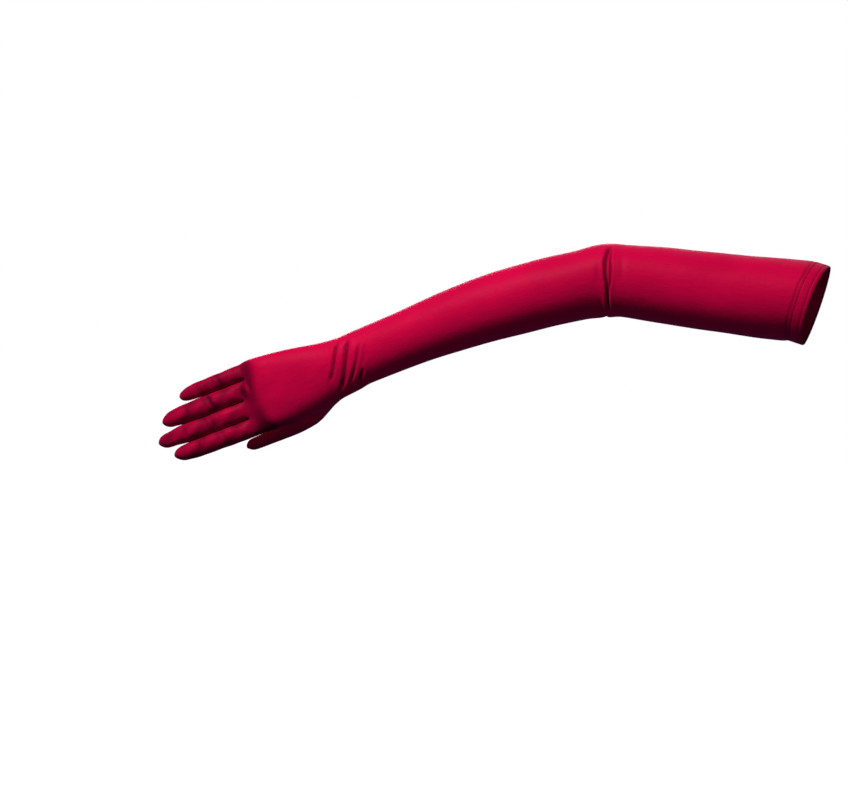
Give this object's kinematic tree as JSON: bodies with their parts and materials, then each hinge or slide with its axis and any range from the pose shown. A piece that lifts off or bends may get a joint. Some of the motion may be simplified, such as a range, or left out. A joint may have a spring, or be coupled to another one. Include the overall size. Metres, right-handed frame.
{
  "type": "opera glove",
  "caption": "Long stretch-satin evening glove for the right hand, reaching past the elbow, with a doubled hem, set-in thumb and strips between the fingers.",
  "frame": {"origin": "centre of the sleeve opening, on the plane of the hem's edge", "axes": "+X out of the sleeve opening along the upper sleeve, -Y the side that the back of the hand faces, +Z the outside of the elbow"},
  "size_m": [0.5559, 0.0714, 0.2322],
  "materials": {
    "stretch_satin": "woven satin with a soft sheen",
    "satin_seam": "sewn satin edges",
    "sewing_thread": "polyester thread"
  },
  "bodies": {
    "upper_sleeve": {"hem_band": "stretch_satin", "hem_stitching_outer": "sewing_thread", "hem_stitching_inner": "sewing_thread", "upper_sleeve_back": "stretch_satin", "upper_sleeve_front": "stretch_satin", "upper_side_seam": "satin_seam", "elbow_bend": "stretch_satin"},
    "forearm": {"forearm_sleeve_back": "stretch_satin", "forearm_sleeve_front": "stretch_satin", "forearm_side_seam": "satin_seam", "wrist_bend": "stretch_satin"},
    "hand": {"hand_back": "stretch_satin", "hand_palm": "stretch_satin", "hand_side_seam": "satin_seam", "fourchette_index_middle": "stretch_satin", "fourchette_middle_ring": "stretch_satin", "fourchette_ring_little": "stretch_satin", "thumb_gusset": "stretch_satin", "index_knuckle_bend": "stretch_satin", "middle_knuckle_bend": "stretch_satin", "ring_knuckle_bend": "stretch_satin", "little_knuckle_bend": "stretch_satin"},
    "thumb": {"thumb_base_segment": "stretch_satin", "thumb_joint_bend": "stretch_satin"},
    "thumb_tip": {"thumb_tip_segment": "stretch_satin"},
    "index_base": {"index_base_segment": "stretch_satin", "index_middle_bend": "stretch_satin"},
    "index_middle": {"index_middle_segment": "stretch_satin", "index_tip_bend": "stretch_satin"},
    "index_tip": {"index_tip_segment": "stretch_satin"},
    "middle_base": {"middle_base_segment": "stretch_satin", "middle_middle_bend": "stretch_satin"},
    "middle_middle": {"middle_middle_segment": "stretch_satin", "middle_tip_bend": "stretch_satin"},
    "middle_tip": {"middle_tip_segment": "stretch_satin"},
    "ring_base": {"ring_base_segment": "stretch_satin", "ring_middle_bend": "stretch_satin"},
    "ring_middle": {"ring_middle_segment": "stretch_satin", "ring_tip_bend": "stretch_satin"},
    "ring_tip": {"ring_tip_segment": "stretch_satin"},
    "little_base": {"little_base_segment": "stretch_satin", "little_middle_bend": "stretch_satin"},
    "little_middle": {"little_middle_segment": "stretch_satin", "little_tip_bend": "stretch_satin"},
    "little_tip": {"little_tip_segment": "stretch_satin"}
  },
  "joints": [
    {"name": "elbow", "type": "hinge", "parent": "upper_sleeve", "child": "forearm", "pos_m": [-0.178, 0, 0], "axis": [0, -1, 0], "range_deg": [-24, 95], "deforming": ["elbow_bend"]},
    {"name": "wrist", "type": "hinge", "parent": "forearm", "child": "hand", "pos_m": [-0.3814, 0, -0.09141], "axis": [0.4802, 0, -0.8771], "range_deg": [-60, 65], "deforming": ["wrist_bend"]},
    {"name": "thumb_base", "type": "hinge", "parent": "hand", "child": "thumb", "pos_m": [-0.41129, 0.015, -0.14095], "axis": [0.2901, -0.7998, -0.5255], "range_deg": [0, 40], "deforming": ["thumb_gusset"]},
    {"name": "thumb_tip_joint", "type": "hinge", "parent": "thumb", "child": "thumb_tip", "pos_m": [-0.44316, 0.01578, -0.15972], "axis": [0.5075, 0, -0.8616], "range_deg": [0, 70], "deforming": ["thumb_joint_bend"]},
    {"name": "index_knuckle", "type": "hinge", "parent": "hand", "child": "index_base", "pos_m": [-0.4614, 0, -0.15562], "axis": [0.4493, 0, -0.8934], "range_deg": [-15, 70], "deforming": ["index_knuckle_bend"]},
    {"name": "index_middle_joint", "type": "hinge", "parent": "index_base", "child": "index_middle", "pos_m": [-0.49088, 0, -0.17044], "axis": [0.4493, 0, -0.8934], "range_deg": [0, 95], "deforming": ["index_middle_bend"]},
    {"name": "index_tip_joint", "type": "hinge", "parent": "index_middle", "child": "index_tip", "pos_m": [-0.51053, 0, -0.18033], "axis": [0.4493, 0, -0.8934], "range_deg": [0, 57], "deforming": ["index_tip_bend"]},
    {"name": "middle_knuckle", "type": "hinge", "parent": "hand", "child": "middle_base", "pos_m": [-0.47069, 0, -0.14281], "axis": [0.4586, 0, -0.8886], "range_deg": [-15, 70], "deforming": ["middle_knuckle_bend"]},
    {"name": "middle_middle_joint", "type": "hinge", "parent": "middle_base", "child": "middle_middle", "pos_m": [-0.50268, 0, -0.15932], "axis": [0.4586, 0, -0.8886], "range_deg": [0, 95], "deforming": ["middle_middle_bend"]},
    {"name": "middle_tip_joint", "type": "hinge", "parent": "middle_middle", "child": "middle_tip", "pos_m": [-0.52401, 0, -0.17033], "axis": [0.4586, 0, -0.8886], "range_deg": [0, 57], "deforming": ["middle_tip_bend"]},
    {"name": "ring_knuckle", "type": "hinge", "parent": "hand", "child": "ring_base", "pos_m": [-0.47662, 0, -0.12781], "axis": [0.4648, 0, -0.8854], "range_deg": [-15, 70], "deforming": ["ring_knuckle_bend"]},
    {"name": "ring_middle_joint", "type": "hinge", "parent": "ring_base", "child": "ring_middle", "pos_m": [-0.50584, 0, -0.14315], "axis": [0.4648, 0, -0.8854], "range_deg": [0, 95], "deforming": ["ring_middle_bend"]},
    {"name": "ring_tip_joint", "type": "hinge", "parent": "ring_middle", "child": "ring_tip", "pos_m": [-0.52443, 0, -0.15291], "axis": [0.4648, 0, -0.8854], "range_deg": [0, 57], "deforming": ["ring_tip_bend"]},
    {"name": "little_knuckle", "type": "hinge", "parent": "hand", "child": "little_base", "pos_m": [-0.47856, 0, -0.11177], "axis": [0.4633, 0, -0.8862], "range_deg": [-15, 70], "deforming": ["little_knuckle_bend"]},
    {"name": "little_middle_joint", "type": "hinge", "parent": "little_base", "child": "little_middle", "pos_m": [-0.5016, 0, -0.12382], "axis": [0.4633, 0, -0.8862], "range_deg": [0, 95], "deforming": ["little_middle_bend"]},
    {"name": "little_tip_joint", "type": "hinge", "parent": "little_middle", "child": "little_tip", "pos_m": [-0.51711, 0, -0.13193], "axis": [0.4633, 0, -0.8862], "range_deg": [0, 57], "deforming": ["little_tip_bend"]}
  ],
  "couplings": [
    {"joint": "index_tip_joint", "follows": "index_middle_joint", "ratio": 0.6},
    {"joint": "middle_tip_joint", "follows": "middle_middle_joint", "ratio": 0.6},
    {"joint": "ring_tip_joint", "follows": "ring_middle_joint", "ratio": 0.6},
    {"joint": "little_tip_joint", "follows": "little_middle_joint", "ratio": 0.6}
  ]
}
